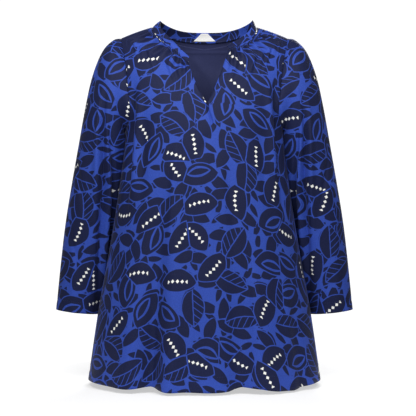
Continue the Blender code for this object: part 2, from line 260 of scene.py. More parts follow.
def middlePlace(panel, side, v):
    # the V and the line below it, or the middle of the back
    vX, vZ = cut["vPoint"]
    slitX, slitZ = cut["slitEnd"]
    hem = hemZ(panel, slitX if panel == "front" else 0.0)
    start, top = (vAt, vZ) if panel == "front" else (0.0, cut["backNeckZ"])
    upper = mix(top, cut["bustZ"], (v - start) / (underarmAt - start))
    lower = mix(cut["bustZ"], hem, (v - underarmAt) / (1 - underarmAt))
    z = np.where(v < underarmAt, upper, lower)
    if panel == "back":
        return placeOf(0.0, z)
    x = mix(vX, slitX, smooth((z - vZ) / (slitZ - vZ)))
    t = np.clip(v / vAt, 0, 1)
    topX, topZ = cut["neckFront"][side][0]
    edgeX = mix(topX, vX, t) + side * cut["vBow"] * 4 * t * (1 - t)
    return placeOf(np.where(v < vAt, edgeX, x), np.where(v < vAt, mix(topZ, vZ, t), z))


def sidePlace(panel, side, v):
    # the shoulder seam, the armhole and the side seam
    x = mix(cut["neckX"], cut["tipX"], np.clip(v / tipAt, 0, 1))
    shoulder = placeOf(side * x, ridge(x))
    hole = armhole(panel, side, np.clip((v - tipAt) / (underarmAt - tipAt), 0, 1))
    hem = hemZ(panel, level(np.asarray(cut["hemSideZ"]), "width"))
    z = mix(cut["underarmZ"], hem, np.clip((v - underarmAt) / (1 - underarmAt), 0, 1))
    seam = placeOf(level(z, "width"), z)
    seam[..., 0] = side
    made = np.where((v < tipAt)[:, None], shoulder, hole)
    return np.where((v >= underarmAt)[:, None], seam, made)


def hemPlace(panel, side, u):
    inner = middlePlace(panel, side, np.array([1.0]))[0, 0]
    around = mix(inner, side, u)
    x = np.copysign(widthAt(around, np.asarray(cut["hemSideZ"])), around)
    return np.stack([around, placeOf(x, hemZ(panel, x))[..., 1]], -1)


def panelPlaces(panel, side, u, v):
    # spreads a grid between the four sides of half a panel
    neck, hem = neckPlace(panel, side, u), hemPlace(panel, side, u)
    inner, outer = middlePlace(panel, side, v), sidePlace(panel, side, v)
    across, down = u[None, :, None], v[:, None, None]
    made = neck[None] * (1 - down) + hem[None] * down
    made = made + inner[:, None] * (1 - across) + outer[:, None] * across
    made = made - (neck[0] * (1 - across) + neck[-1] * across) * (1 - down)
    return made - (hem[0] * (1 - across) + hem[-1] * across) * down


# Creases: soft ridges and troughs along short lines, each with its own size

creaseFade = (0.35, 0.45)  # share that rises at its start and falls at its end


def creaseHeight(rows, x, y):
    height = 0.0
    for x0, y0, x1, y1, spread, tall in rows:
        dx, dy = x1 - x0, y1 - y0
        along = np.clip(((x - x0) * dx + (y - y0) * dy) / (dx * dx + dy * dy), 0, 1)
        away = np.hypot(x - x0 - along * dx, y - y0 - along * dy)
        fade = smooth(along / creaseFade[0]) * smooth((1 - along) / creaseFade[1])
        height = height + tall * fade * np.exp(-((away / spread) ** 2))
    return height


# Meshes

weldWithin = 2e-5  # points nearer than this become one


def outward(points, forward):
    return points if forward else points[:, ::-1]


def clothMesh(name, grids):
    # grids holds (points, uvs) pairs, rows first; their faces point out of the dress
    bm = bmesh.new()
    uvLayer = bm.loops.layers.uv.new("cloth")
    spot = bm.verts.layers.int.new("spot")
    for points, uvs in grids:
        rows, columns = points.shape[0] - 1, points.shape[1] - 1
        made = bmesh.ops.create_grid(bm, x_segments=columns, y_segments=rows, size=0.5)["verts"]
        places, flat = points.reshape(-1, 3).tolist(), uvs.reshape(-1, 2).tolist()
        for vertex in made:
            column, row = round((vertex.co.x + 0.5) * columns), round((0.5 - vertex.co.y) * rows)
            vertex[spot] = row * (columns + 1) + column
            vertex.co = places[vertex[spot]]
        for face in {face for vertex in made for face in vertex.link_faces}:
            face.smooth = True
            for loop in face.loops:
                loop[uvLayer].uv = flat[loop.vert[spot]]
    bmesh.ops.remove_doubles(bm, verts=bm.verts[:], dist=weldWithin)
    mesh = bpy.data.meshes.new(name)
    bm.to_mesh(mesh)
    bm.free()
    mesh.attributes.remove(mesh.attributes["spot"])
    return mesh


def finishCloth(node, mesh, slot, materials, thickness, flat, area, restsOn):
    # thickness inwards, materials, and hides the solid that the piece stands in for
    piece = bpy.data.objects.new(node + "_cloth", mesh)
    bpy.context.scene.collection.objects.link(piece)
    for material in materials:
        mesh.materials.append(material)
    wall = piece.modifiers.new("wall", "SOLIDIFY")
    wall.thickness, wall.offset = thickness, -1
    wall.material_offset = len(materials) - 1
    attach(piece, "root")
    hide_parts(node)


# Front and back

panels = {
    "columns": {"front": 112, "back": 80},  # in each half
    "crowd": {"front": 0.45, "back": 0.0},  # how much closer they lie at the middle
    "finer": 7,  # rows for each row of the solid
    "thickness": 0.0012,
    "gathers": 10,
    "gatherDepth": 0.0054,
    "tuckReach": {  # share of the rows that each tuck runs down, from the notch to the shoulder
        1: [0.20, 0.30, 0.22, 0.34, 0.24, 0.30, 0.19, 0.26, 0.17, 0.12],
        -1: [0.18, 0.26, 0.33, 0.20, 0.30, 0.22, 0.27, 0.18, 0.22, 0.12],
    },
    "tuckEnds": (0.1, 0.2),  # share without tucks at the notch and the shoulder
    "seamDip": 0.0009,
    "seamSpread": 0.0045,
    "edgeRoll": 0.0024,  # how far the edges of the V turn in
    "rollSpread": 0.0045,
    "rollFade": (0.85, 0.15),  # where along the V it starts to fade, and over how much
    "hem": {
        "depth": 0.022, "proud": 0.0004, "soft": 0.004, "groove": 0.0010, "grooveSpread": 0.0035,
        "row": -6,  # of the mesh, where the stitches go
    },
    "girthSteps": 24,  # in which the cloth is measured
    "fallSteps": 10,
    "creases": {  # x and z of one end, x and z of the other, spread, height
        "front": [
            (-0.155, -0.110, -0.180, -0.460, 0.007, -0.0130),
            (-0.141, -0.130, -0.163, -0.430, 0.008, 0.0065),
            (-0.128, -0.190, -0.142, -0.420, 0.009, -0.0034),
            (0.155, -0.110, 0.180, -0.460, 0.007, -0.0130),
            (0.141, -0.120, 0.163, -0.420, 0.008, 0.0065),
            (0.124, -0.210, 0.140, -0.440, 0.010, -0.0030),
            (-0.060, -0.250, -0.082, -0.560, 0.007, 0.0036),
            (-0.036, -0.330, -0.048, -0.620, 0.009, -0.0030),
            (0.110, -0.520, 0.120, -0.800, 0.012, 0.0032),
            (0.092, -0.500, 0.098, -0.800, 0.010, -0.0034),
            (-0.016, -0.560, -0.014, -0.810, 0.012, -0.0032),
            (0.030, -0.260, 0.045, -0.500, 0.013, 0.0026),
            (0.052, -0.300, 0.070, -0.560, 0.009, -0.0026),
            (0.020, -0.235, -0.030, -0.330, 0.010, -0.0020),
            (0.178, -0.520, 0.190, -0.790, 0.010, 0.0030),
        ],
        "back": [
            (0.155, -0.130, 0.182, -0.400, 0.010, -0.0056),
            (-0.158, -0.120, -0.184, -0.420, 0.010, -0.0054),
            (0.136, -0.120, 0.156, -0.380, 0.010, 0.0036),
            (-0.138, -0.120, -0.158, -0.400, 0.010, 0.0036),
            (0.090, -0.060, 0.122, -0.280, 0.014, 0.0030),
            (-0.080, -0.070, -0.116, -0.260, 0.013, 0.0028),
            (0.020, -0.060, 0.030, -0.300, 0.012, -0.0024),
            (0.030, -0.200, 0.045, -0.520, 0.012, 0.0030),
            (-0.090, -0.300, -0.100, -0.600, 0.010, -0.0036),
            (-0.020, -0.380, -0.024, -0.760, 0.012, -0.0034),
            (0.140, -0.480, 0.160, -0.780, 0.010, 0.0034),
            (0.078, -0.420, 0.090, -0.760, 0.010, -0.0036),
        ],
    },
}


stitchLines = []  # points and outward directions of each row of stitches


def tuckHeight(side, u, v):
    reach = np.array(panels["tuckReach"][side])
    reach = np.interp(u * len(reach), np.arange(len(reach)) + 0.5, reach)
    fade = smooth(v * allRows) * (1 - smooth(v / reach))
    ends = smooth(u / panels["tuckEnds"][0]) * smooth((1 - u) / panels["tuckEnds"][1])
    return -panels["gatherDepth"] * np.cos(2 * pi * panels["gathers"] * u) * fade * ends


def slitHeight(x, z):
    vX, vZ = cut["vPoint"]
    slitX, slitZ = cut["slitEnd"]
    way = (z - vZ) / (slitZ - vZ)
    off = x - mix(vX, slitX, smooth(way))
    fadeFrom, fadeOver = cut["slitFade"]
    fade = np.where(way >= 0, 1 - smooth((way - fadeFrom) / fadeOver), 0.0)
    tall, soft, wide = cut["slitLap"]
    lap = tall * (smooth(off / soft) - smooth((off - wide) / soft))
    return fade * (lap - cut["slitDepth"] * np.exp(-((off / cut["slitSpread"]) ** 2)))


def levelLength(panel, place, z):
    # girth from the middle of the panel to a place, at that place's own level
    power = 2 / body["square"]
    over = np.sin(np.clip(place[..., 1] / body["turnOver"], 0, pi / 2))
    width, deep = level(z, "width"), level(z, panel) * over
    total, lastX, lastY = 0.0, 0.0, deep
    for part in np.linspace(0, 1, panels["girthSteps"] + 1)[1:]:
        angle = np.abs(place[..., 0]) * part * pi / 2
        x, y = width * np.sin(angle) ** power, deep * np.abs(np.cos(angle)) ** power
        total, lastX, lastY = total + np.hypot(x - lastX, y - lastY), x, y
    return total


def fallLength(panel, place, z):
    # the way down the cloth from where the shoulder's turn ends
    angle = np.clip(place[..., 1] / body["turnOver"], 0, pi / 2)
    deep = np.abs(np.cos(place[..., 0] * pi / 2)) ** (2 / body["square"])
    depth, total, steps = level(z, panel) * deep, 0.0, panels["fallSteps"]
    for part in np.linspace(0.5 / steps, 1 - 0.5 / steps, steps):
        at = mix(angle, pi / 2, part)
        total = total + np.hypot(depth * np.cos(at), body["turnOver"] * np.sin(at)) / steps
    return np.maximum(place[..., 1] - body["turnOver"] * pi / 2, 0) - total * (pi / 2 - angle)


def hemHeight(toHem):
    # the turned hem: a little proud, with its stitch line drawn in
    hem = panels["hem"]
    past = toHem - hem["depth"]
    turned = hem["proud"] * (1 - smooth(past / hem["soft"]))
    return turned - hem["groove"] * np.exp(-((past / hem["grooveSpread"]) ** 2))


def panelHalf(panel, side):
    # points and cloth coordinates of half a panel, from the middle outwards
    u = np.linspace(0, 1, panels["columns"][panel] + 1)
    u = mix(u, u * u, panels["crowd"][panel])
    v = np.linspace(0, 1, allRows * panels["finer"] + 1)
    place = panelPlaces(panel, side, u, v)
    base = bodyForm(panel, place)
    x, z = base[..., 0], base[..., 2]
    outer = normals(base) * (side if panel == "front" else -side)
    height = foldHeight(panel, x, z) + creaseHeight(panels["creases"][panel], x, z)
    girth, down = lengths(base, 1), lengths(base, 0)
    if panel == "front":
        height = height + slitHeight(x, z) + tuckHeight(side, u[None], v[:, None])
        fadeFrom, fadeOver = panels["rollFade"]
        opened = 1 - smooth((v[:, None] / vAt - fadeFrom) / fadeOver)
        roll = opened * (1 - smooth(girth / panels["rollSpread"]))
        height = height - panels["edgeRoll"] * roll
    height = height + hemHeight(down[-1:] - down)
    seamOff = np.minimum(girth[:, -1:] - girth, down)
    height = height - panels["seamDip"] * (1 - smooth(seamOff / panels["seamSpread"]))
    final = base + outer * height[..., None]
    stitchLines.append((final[panels["hem"]["row"]], outer[panels["hem"]["row"]]))
    extra = lengths(final, 1) - girth
    across = np.sign(place[..., 0]) * levelLength(panel, place, z) + side * extra
    return final, np.stack([across, -fallLength(panel, place, z)], -1)


def panelMesh(panel):
    halves = {side: panelHalf(panel, side) for side in (-1, 1)}
    parted = cut["vRows"] * panels["finer"] if panel == "front" else 0
    middle = (halves[-1][0][parted:, 0] + halves[1][0][parted:, 0]) / 2
    for points, _ in halves.values():
        points[parted:, 0] = middle
    forward = 1 if panel == "front" else -1
    return clothMesh(
        panel + "Cloth",
        [
            (outward(points, side == forward), outward(uvs, side == forward))
            for side, (points, uvs) in halves.items()
        ],
    )


# Sleeves

sleeves = {
    "rings": [  # share of the length, outer x and z, inner x and z, front y, back y
        (0.045, 0.2110, -0.029, 0.1800, -0.2450, -0.058, 0.070),
        (0.130, 0.2350, -0.055, 0.1795, -0.2580, -0.059, 0.073),
        (0.240, 0.2575, -0.110, 0.1805, -0.2820, -0.056, 0.075),
        (0.350, 0.2735, -0.178, 0.1838, -0.3120, -0.051, 0.076),
        (0.470, 0.2890, -0.262, 0.1890, -0.3520, -0.045, 0.077),
        (0.600, 0.3060, -0.355, 0.1980, -0.4070, -0.036, 0.078),
        (0.730, 0.3215, -0.446, 0.2105, -0.4780, -0.026, 0.081),
        (0.860, 0.3335, -0.540, 0.2285, -0.5610, -0.015, 0.084),
        (1.000, 0.3450, -0.648, 0.2475, -0.6590, -0.006, 0.086),
    ],
    "square": 2.1,
    "off": 0.0006,
    "clear": -0.0004,
    "cling": 0.010,  # how near the body the sleeve is drawn onto it
    "clingFade": 0.010,  # the drop over which that begins
    "columns": 132,
    "rows": 150,
    "thickness": 0.0012,
    "headRoll": (0.0010, 0.011, 0.006),  # height, way down the sleeve, spread
    "headFade": (0.6, 0.4),  # where it ends on the way round, and over how much
    "flatGrid": (31, 35),  # rows and columns of the grid that is laid flat
    "leastLevel": 0.3,  # of a step round the sleeve in the first guess
    "giving": (1500, 1.2),  # how many times that grid gives way, and how freely
    "allowance": (0.0045, 0.0022),  # how far its edge reaches inside the armhole, and how deep
    "creases": {  # girth from the outer line, towards the front, and way down, of both ends
        1: [
            (0.116, 0.05, 0.130, 0.42, 0.008, -0.0130),
            (0.096, 0.08, 0.106, 0.36, 0.009, 0.0070),
            (0.134, 0.07, 0.142, 0.44, 0.007, 0.0060),
            (0.152, 0.05, 0.158, 0.46, 0.008, -0.0120),
            (0.020, 0.26, 0.105, 0.34, 0.011, -0.0032),
            (0.010, 0.37, 0.090, 0.32, 0.012, 0.0026),
            (0.050, 0.40, 0.075, 0.62, 0.013, 0.0030),
            (0.030, 0.05, 0.070, 0.16, 0.010, -0.0022),
            (-0.060, 0.10, -0.080, 0.50, 0.014, -0.0048),
            (-0.100, 0.06, -0.120, 0.40, 0.012, -0.0044),
            (-0.020, 0.30, -0.110, 0.36, 0.012, 0.0030),
            (-0.150, 0.08, -0.150, 0.44, 0.013, 0.0034),
        ],
        -1: [
            (0.112, 0.05, 0.128, 0.44, 0.008, -0.0130),
            (0.092, 0.07, 0.102, 0.38, 0.009, 0.0070),
            (0.132, 0.06, 0.141, 0.46, 0.007, 0.0060),
            (0.150, 0.05, 0.157, 0.48, 0.008, -0.0120),
            (0.015, 0.30, 0.100, 0.36, 0.012, -0.0030),
            (0.060, 0.42, 0.072, 0.62, 0.013, 0.0032),
            (0.020, 0.44, 0.095, 0.47, 0.011, -0.0024),
            (0.025, 0.06, 0.066, 0.17, 0.010, -0.0022),
            (-0.070, 0.09, -0.085, 0.46, 0.014, -0.0046),
            (-0.110, 0.07, -0.118, 0.38, 0.012, -0.0040),
            (-0.010, 0.34, -0.100, 0.31, 0.012, 0.0028),
            (-0.148, 0.08, -0.152, 0.42, 0.013, 0.0034),
        ],
    },
}


def ringPoints(side, ring, turn):
    outX, outZ, inX, inZ, frontY, backY = ring
    power = 2 / sleeves["square"]
    along = np.copysign(np.abs(np.cos(turn)) ** power, np.cos(turn))
    across = np.copysign(np.abs(np.sin(turn)) ** power, np.sin(turn))
    x = side * ((outX + inX) / 2 + (outX - inX) / 2 * along)
    y = (frontY + backY) / 2 - (backY - frontY) / 2 * across
    return np.stack([x, y, (outZ + inZ) / 2 + (outZ - inZ) / 2 * along], -1)


def restOnBody(points, side):
    # below the underarm, keeps the sleeve outside the body, which flattens it there
    x, y, z = points[..., 0] * side, points[..., 1] - body["centreY"], points[..., 2]
    depth = np.where(y < 0, level(z, "front"), level(z, "back"))
    inside = np.clip(1 - (np.abs(y) / depth) ** body["square"], 0, 1)
    reach = level(z, "width") * inside ** (1 / body["square"]) + sleeves["clear"]
    gap = np.maximum(x - reach, 0)
    rested = reach + gap * smooth(gap / sleeves["cling"])
    points[..., 0] = side * mix(x, rested, smooth((cut["underarmZ"] - z) / sleeves["clingFade"]))
    return points


def slackened(flat, points):
    # lets a flat guess give way until each step over the cloth has its own length
    every, near, far = slice(None), slice(None, -1), slice(1, None)
    pairs = [  # each point with the next along its row, down its column and on both slants
        ((every, near), (every, far)),
        ((near, every), (far, every)),
        ((near, near), (far, far)),
        ((near, far), (far, near)),
    ]
    share = np.zeros((*flat.shape[:2], 1))
    for pair in pairs:
        for end in pair:
            share[end] += 1
    rests = [np.linalg.norm(points[b] - points[a], axis=-1, keepdims=True) for a, b in pairs]
    times, freely = sleeves["giving"]
    for _ in range(times):
        move = np.zeros_like(flat)
        for (a, b), rest in zip(pairs, rests):
            step = flat[b] - flat[a]
            size = np.linalg.norm(step, axis=-1, keepdims=True)
            pull = step * (0.5 * (size - rest) / size)
            move[a] += pull
            move[b] -= pull
        flat = flat + move / share * freely
    return flat


def sleeveCut(points, side):
    # lays the sleeve flat, worked out on a coarse grid of it
    rows = np.unique(np.linspace(0, len(points) - 1, sleeves["flatGrid"][0]).round().astype(int))
    columns = np.linspace(0, points.shape[1] - 1, sleeves["flatGrid"][1]).round().astype(int)
    coarse = points[rows][:, columns]
    up = lengths(coarse[::-1], 0)[::-1]
    slant = np.diff(up, axis=1)
    step = np.linalg.norm(np.diff(coarse, axis=1), axis=-1)
    step = np.sqrt(np.maximum(step**2 - slant**2, sleeves["leastLevel"] * step**2))
    around = np.concatenate([np.zeros((len(rows), 1)), np.cumsum(step, axis=1)], axis=1)
    around = around - around[:, len(columns) // 2, None]
    flat = slackened(np.stack([around, up], -1), coarse)
    for spots, count in ((rows, points.shape[0]), (columns, points.shape[1])):
        lines = [(spot, *line.ravel()) for spot, line in zip(spots, flat)]
        flat = follow(lines, np.arange(count)).reshape(count, -1, 2).swapaxes(0, 1)
    return flat * [side, 1]


def sleeveMesh(side):
    # the cloth meets itself on the inner side, next to the body
    turn = np.linspace(-pi, pi, sleeves["columns"] + 1)
    share = np.abs(turn) / pi
    onFront = bodyForm("front", armhole("front", side, share))
    onBack = bodyForm("back", armhole("back", side, share))
    start = np.where((turn >= 0)[:, None], onFront, onBack)
    start[:, 0] += side * sleeves["off"]
    lines = [(0.0, *start.ravel())]
    lines += [(ring[0], *ringPoints(side, ring[1:], turn).ravel()) for ring in sleeves["rings"]]
    base = follow(lines, np.linspace(0, 1, sleeves["rows"] + 1)).reshape(-1, len(turn), 3)
    outer = normals(base) * -side
    down = lengths(base, 0)
    girth = lengths(base, 1) - lengths(base, 1)[:, len(turn) // 2, None]
    height = creaseHeight(sleeves["creases"][side], girth, down) + hemHeight(down[-1:] - down)
    height = height - panels["seamDip"] * (1 - smooth(down / panels["seamSpread"]))
    rollHigh, rollDown, rollSpread = sleeves["headRoll"]
    fadeEnd, fadeOver = sleeves["headFade"]
    roll = rollHigh * smooth((fadeEnd - share) / fadeOver)[None]
    height = height + roll * np.exp(-(((down - rollDown) / rollSpread) ** 2))
    final = restOnBody(base + outer * height[..., None], side)
    final[:, -1] = final[:, 0] = (final[:, 0] + final[:, -1]) / 2
    stitchLines.append((final[panels["hem"]["row"]], outer[panels["hem"]["row"]]))
    inwards = final[1] - final[0]
    inwards = inwards / np.linalg.norm(inwards, axis=-1, keepdims=True)
    turned = final[0] - inwards * sleeves["allowance"][0] - outer[0] * sleeves["allowance"][1]
    uvs = sleeveCut(base, side)
    final = np.concatenate([turned[None], final])
    uvs = np.concatenate([2 * uvs[:1] - uvs[1:2], uvs])
    return clothMesh("sleeveCloth", [(outward(final, side < 0), outward(uvs, side < 0))])


# Neckband

band = {
    "stand": [  # way round from the notch on the wearer's right, rise, lean towards the neck
        (0.000, 0.015, 0.003),
        (0.135, 0.012, 0.010),
        (0.280, 0.015, 0.017),
        (0.500, 0.021, 0.007),
        (0.720, 0.016, 0.007),
        (0.865, 0.012, 0.011),
        (1.000, 0.008, 0.008),
    ],
    "shoulderAt": 20 / 36,  # of each half, from the notch
    "axisY": 0.010,
    "bulge": 0.0012,
    "columns": 288,
    "rows": 14,
    "under": 0.16,  # share of its height that turns down inside the neck seam
    "underLean": 0.0006,
    "stitchRow": 10,
    "thickness": 0.0018,
}


def bandSeam(u):
    side = np.where(u < 0.5, -1, 1)
    fromEnd = np.where(u < 0.5, 2 * u, 2 - 2 * u)
    shoulder = band["shoulderAt"]
    onFront = np.clip(fromEnd / shoulder, 0, 1)
    onBack = np.clip((1 - fromEnd) / (1 - shoulder), 0, 1)
    made = np.zeros((*u.shape, 3))
    for way in (-1, 1):
        chosen = (side == way) & (fromEnd < shoulder)
        made[chosen] = bodyForm("front", neckPlace("front", way, onFront[chosen]))
        chosen = (side == way) & (fromEnd >= shoulder)
        made[chosen] = bodyForm("back", neckPlace("back", way, onBack[chosen]))
    return made


def bandPoints(u, v, inside):
    # v is 0 at the seam and 1 at the top edge
    seam = bandSeam(u)
    inward = np.stack([-seam[..., 0], band["axisY"] - seam[..., 1], np.zeros_like(u)], -1)
    inward = inward / np.linalg.norm(inward, axis=-1, keepdims=True)
    stand = follow(band["stand"], u)
    bulge = band["bulge"] * np.sin(pi * np.maximum(v, 0))
    across = stand[..., 1] * v - bulge + inside
    across = across + np.where(v < 0, band["underLean"] - stand[..., 1] * v, 0.0)
    up = np.stack([np.zeros_like(u), np.zeros_like(u), stand[..., 0] * v], -1)
    return seam + up + inward * across[..., None]


def bandMesh():
    u, v = np.meshgrid(
        np.linspace(0, 1, band["columns"] + 1), np.linspace(1, -band["under"], band["rows"] + 1)
    )
    points = bandPoints(u, v, 0.0)
    along = lengths(points[-1:], 1)
    uvs = np.stack([np.broadcast_to(along, u.shape), -lengths(points, 0)], -1)
    row = band["stitchRow"]
    stitchLines.append((points[row], normals(points)[row]))
    return clothMesh("bandCloth", [(outward(points, False), outward(uvs, False))])


# Lining and label

inner = {
    "columns": 13 / 16,  # share of the back's width
    "rows": (1, 13),  # of the back's own rows
    "off": 0.0018,
    "thickness": 0.0009,
    "grid": (70, 90),
    "seamZ": -0.044,
    "seamLine": (0.0008, 0.003),  # depth and spread
    "creases": [  # towards the wearer
        (-0.070, -0.060, -0.020, -0.150, 0.010, 0.0026),
        (-0.030, -0.050, 0.010, -0.110, 0.008, 0.0018),
        (0.060, -0.055, 0.020, -0.140, 0.009, 0.0024),
        (0.010, -0.070, 0.030, -0.190, 0.008, 0.0020),
        (-0.045, -0.120, 0.000, -0.200, 0.009, 0.0022),
        (0.070, -0.110, 0.035, -0.220, 0.010, 0.0024),
    ],
    "labelWidth": 0.054,
    "labelTopWidth": 0.018,
    "labelHeight": 0.018,
    "labelFrom": 0.04,  # share of the band's height where it starts
    "labelGrid": (24, 12),
    "labelSpan": 0.05,  # of the way round, for its width
    "labelOff": 0.0005,
    "labelThickness": 0.0008,
}


def liningMesh():
    grids = []
    v = np.linspace(inner["rows"][0], inner["rows"][1], inner["grid"][1] + 1) / allRows
    u = np.linspace(0, inner["columns"], inner["grid"][0] + 1)
    for side in (-1, 1):
        place = panelPlaces("back", side, np.concatenate([u, [1.0]]), v)[:, :-1]
        base = bodyForm("back", place)
        out = normals(base) * -side
        x, z = base[..., 0], base[..., 2]
        height = foldHeight("back", x, z) + creaseHeight(panels["creases"]["back"], x, z)
        height = np.minimum(height, 0.0) - inner["off"] - creaseHeight(inner["creases"], x, z)
        deep, spread = inner["seamLine"]
        height = height - deep * np.exp(-(((z - inner["seamZ"]) / spread) ** 2))
        final = base + out * height[..., None]
        uvs = np.stack([side * levelLength("back", place, z), -place[..., 1]], -1)
        grids.append((final, uvs))
    middle = (grids[0][0][:, 0] + grids[1][0][:, 0]) / 2
    for points, _ in grids:
        points[:, 0] = middle
    return clothMesh(
        "liningCloth",
        [(outward(p, i == 0), outward(uv, i == 0)) for i, (p, uv) in enumerate(grids)],
    )


def labelMesh():
    columns, rows = inner["labelGrid"]
    t, v = np.meshgrid(np.linspace(-0.5, 0.5, columns + 1), np.linspace(0, 1, rows + 1))
    near = bandSeam(np.linspace(0.5, 0.5 + inner["labelSpan"], 11))
    perMetre = inner["labelSpan"] / lengths(near[None], 1)[0, -1]
    x = mix(inner["labelTopWidth"], inner["labelWidth"], v) * t
    bandHeight = follow(band["stand"], np.array([0.5]))[0, 0]
    high = mix(inner["labelHeight"], 0.0, v) / bandHeight + inner["labelFrom"]
    points = bandPoints(0.5 + x * perMetre, high, band["thickness"] + inner["labelOff"])
    uvs = np.stack([x, -inner["labelHeight"] * v], -1)
    return clothMesh("labelCloth", [(outward(points, False), outward(uvs, False))])


# Materials

class Number:
    # a value that varies over the cloth; sums and products of it add Math nodes
    def __init__(self, look, socket):
        self.look, self.socket = look, socket

    def math(self, operation, *values):
        node = self.look.node("ShaderNodeMath", {"operation": operation}, dict(enumerate(values)))
        return Number(self.look, node.outputs[0])

    def __add__(self, other):
        return self.math("ADD", self, other)

    def __radd__(self, other):
        return self.math("ADD", other, self)

    def __sub__(self, other):
        return self.math("SUBTRACT", self, other)

    def __rsub__(self, other):
        return self.math("SUBTRACT", other, self)

    def __mul__(self, other):
        return self.math("MULTIPLY", self, other)

    def __rmul__(self, other):
        return self.math("MULTIPLY", other, self)

    def __truediv__(self, other):
        return self.math("DIVIDE", self, other)

    def __abs__(self):
        return self.math("ABSOLUTE", self)

    def least(self, other):
        return self.math("MINIMUM", self, other)

    def most(self, other):
        return self.math("MAXIMUM", self, other)

    def root(self):
        return self.math("SQRT", self)

    def above(self, other):
        return self.math("GREATER_THAN", self, other)

    def inside(self, soft):
        # 1 where the value is above 0, with an edge this wide
        return (self / soft + 0.5).least(1.0).most(0.0)


shine = {"specular": 0.16, "sheen": 0.05, "sheenRoughness": 0.45}


class Look:
    # the nodes of one material
    def __init__(self, name, roughness, sheen=0.0):
        self.material = bpy.data.materials.new(name)
        self.material.use_nodes = True
        self.tree = self.material.node_tree
        self.shader = self.tree.nodes["Principled BSDF"]
        self.shader.inputs["Metallic"].default_value = 0.0
        self.shader.inputs["Roughness"].default_value = roughness
        self.shader.inputs["Specular IOR Level"].default_value = shine["specular"]
        self.shader.inputs["Sheen Weight"].default_value = sheen
        self.shader.inputs["Sheen Roughness"].default_value = shine["sheenRoughness"]

    def node(self, kind, settings, values):
        # settings first, then the values or links of the sockets, by name or number
        node = self.tree.nodes.new(kind)
        for key, value in settings.items():
            setattr(node, key, value)
        for key, value in values.items():
            value = getattr(value, "socket", value)
            if isinstance(value, bpy.types.NodeSocket):
                self.tree.links.new(value, node.inputs[key])
            else:
                node.inputs[key].default_value = value
        return node

    def place(self):
        return self.node("ShaderNodeTexCoord", {}, {}).outputs["Object"]

    def vector(self, operation, *values):
        node = self.node("ShaderNodeVectorMath", {"operation": operation}, dict(enumerate(values)))
        return node.outputs[0]

    def split(self, socket):
        node = self.node("ShaderNodeSeparateXYZ", {}, {0: socket})
        return [Number(self, output) for output in node.outputs]

    def blend(self, share, first, second):
        node = self.node("ShaderNodeMix", {"data_type": "RGBA"}, {0: share, 6: first, 7: second})
        return node.outputs[2]

    def feed(self, name, value):
        self.tree.links.new(getattr(value, "socket", value), self.shader.inputs[name])

    def bump(self, height, distance, strength=1.0):
        values = {"Height": height, "Distance": distance, "Strength": strength}
        self.feed("Normal", self.node("ShaderNodeBump", {}, values).outputs[0])


def clothPlace(look):
    return look.node("ShaderNodeUVMap", {"uv_map": "cloth"}, {}).outputs[0]


def noise(look, place, perMetre, detail=2.0):
    values = {"Vector": place, "Scale": perMetre, "Detail": detail}
    return look.node("ShaderNodeTexNoise", {"noise_dimensions": "2D"}, values)


printed = {
    "cobalt": (0.030, 0.072, 0.400),
    "navy": (0.0080, 0.0122, 0.052),
    "white": (0.90, 0.90, 0.86),
    "leafCell": 0.070,  # how far apart the large leaves lie
    "leafShift": (3.105, 7.7),  # moves the scatter
    "leaf": (0.041, 0.0240),  # half length and half width
    "moonHollow": (0.027, 0.0120),
    "moonCore": (0.023, 0.0070),
    "moonOff": 0.0060,
    "petals": [  # how far apart, shift, half length and half width
        (0.047, (11.3, 2.9), (0.028, 0.0125)),
        (0.033, (5.7, 13.1), (0.019, 0.0062)),
    ],
    "scatter": 0.72,
    "bend": 13,
    "rib": 0.0012,
    "slit": (0.0150, 0.0010, 0.8),  # from one cut in a leaf to the next, half width, slant
    "seedStep": 0.0105,
    "seed": (0.0040, 0.0042),  # half length and half width
    "seedRow": (0.022, 0.002, 0.0015),  # half length, off the middle, least way from the edge
    "moonFrom": 0.34,  # chances from which a leaf is a crescent, or has seeds
    "seedsFrom": 0.60,
    "gap": 0.0013,  # half of the line between two leaves
    "petalGap": 0.0008,
    "between": 0.0023,  # from a leaf to the petals around it
    "edge": 0.0007,
    "handCut": (45.0, 0.0022),  # how often and how far the cut edges wander
    "roughness": 0.62,
    "drift": 380.0,  # scale of the uneven dye
    "cobaltDrift": (1.25, 0.75),
    "navyDrift": (0.70, 1.35),
    "grain": (900.0, 0.0004, 0.8),  # scale, height and strength of the crepe
}


def tinted(colour, share=1.0):
    return (*(c * share for c in colour), 1.0)


def pointedOval(along, across, size):
    # how far inside an oval with two sharp ends
    halfLong, halfWide = size
    radius = (halfLong**2 + halfWide**2) / (2 * halfWide)
    reach = abs(across) + (radius - halfWide)
    return radius - (reach * reach + along * along).root()


def toothed(value, step):
    # distance from the nearest whole step
    return abs(value - (value / step).math("ROUND", value / step) * step)


def scattered(look, place, shift, cell):
    # the nearest spot of a scatter: place along and across its own axis, border and chances
    at = look.vector("ADD", place, (*shift, 0.0))
    values = {"Vector": at, "Scale": 1 / cell, "Randomness": printed["scatter"]}
    kind, plane = "ShaderNodeTexVoronoi", {"voronoi_dimensions": "2D"}
    found = look.node(kind, plane, values)
    border = look.node(kind, {**plane, "feature": "DISTANCE_TO_EDGE"}, values).outputs[0]
    chance = look.split(found.outputs["Color"])
    x, y, _ = look.split(look.vector("SUBTRACT", at, found.outputs["Position"]))
    turn = chance[0] * 2 * pi
    cosine, sine = turn.math("COSINE", turn), turn.math("SINE", turn)
    along = y * cosine - x * sine
    across = x * cosine + y * sine + (chance[1] - 0.5) * along * along * printed["bend"]
    return along, across, Number(look, border) * cell, chance


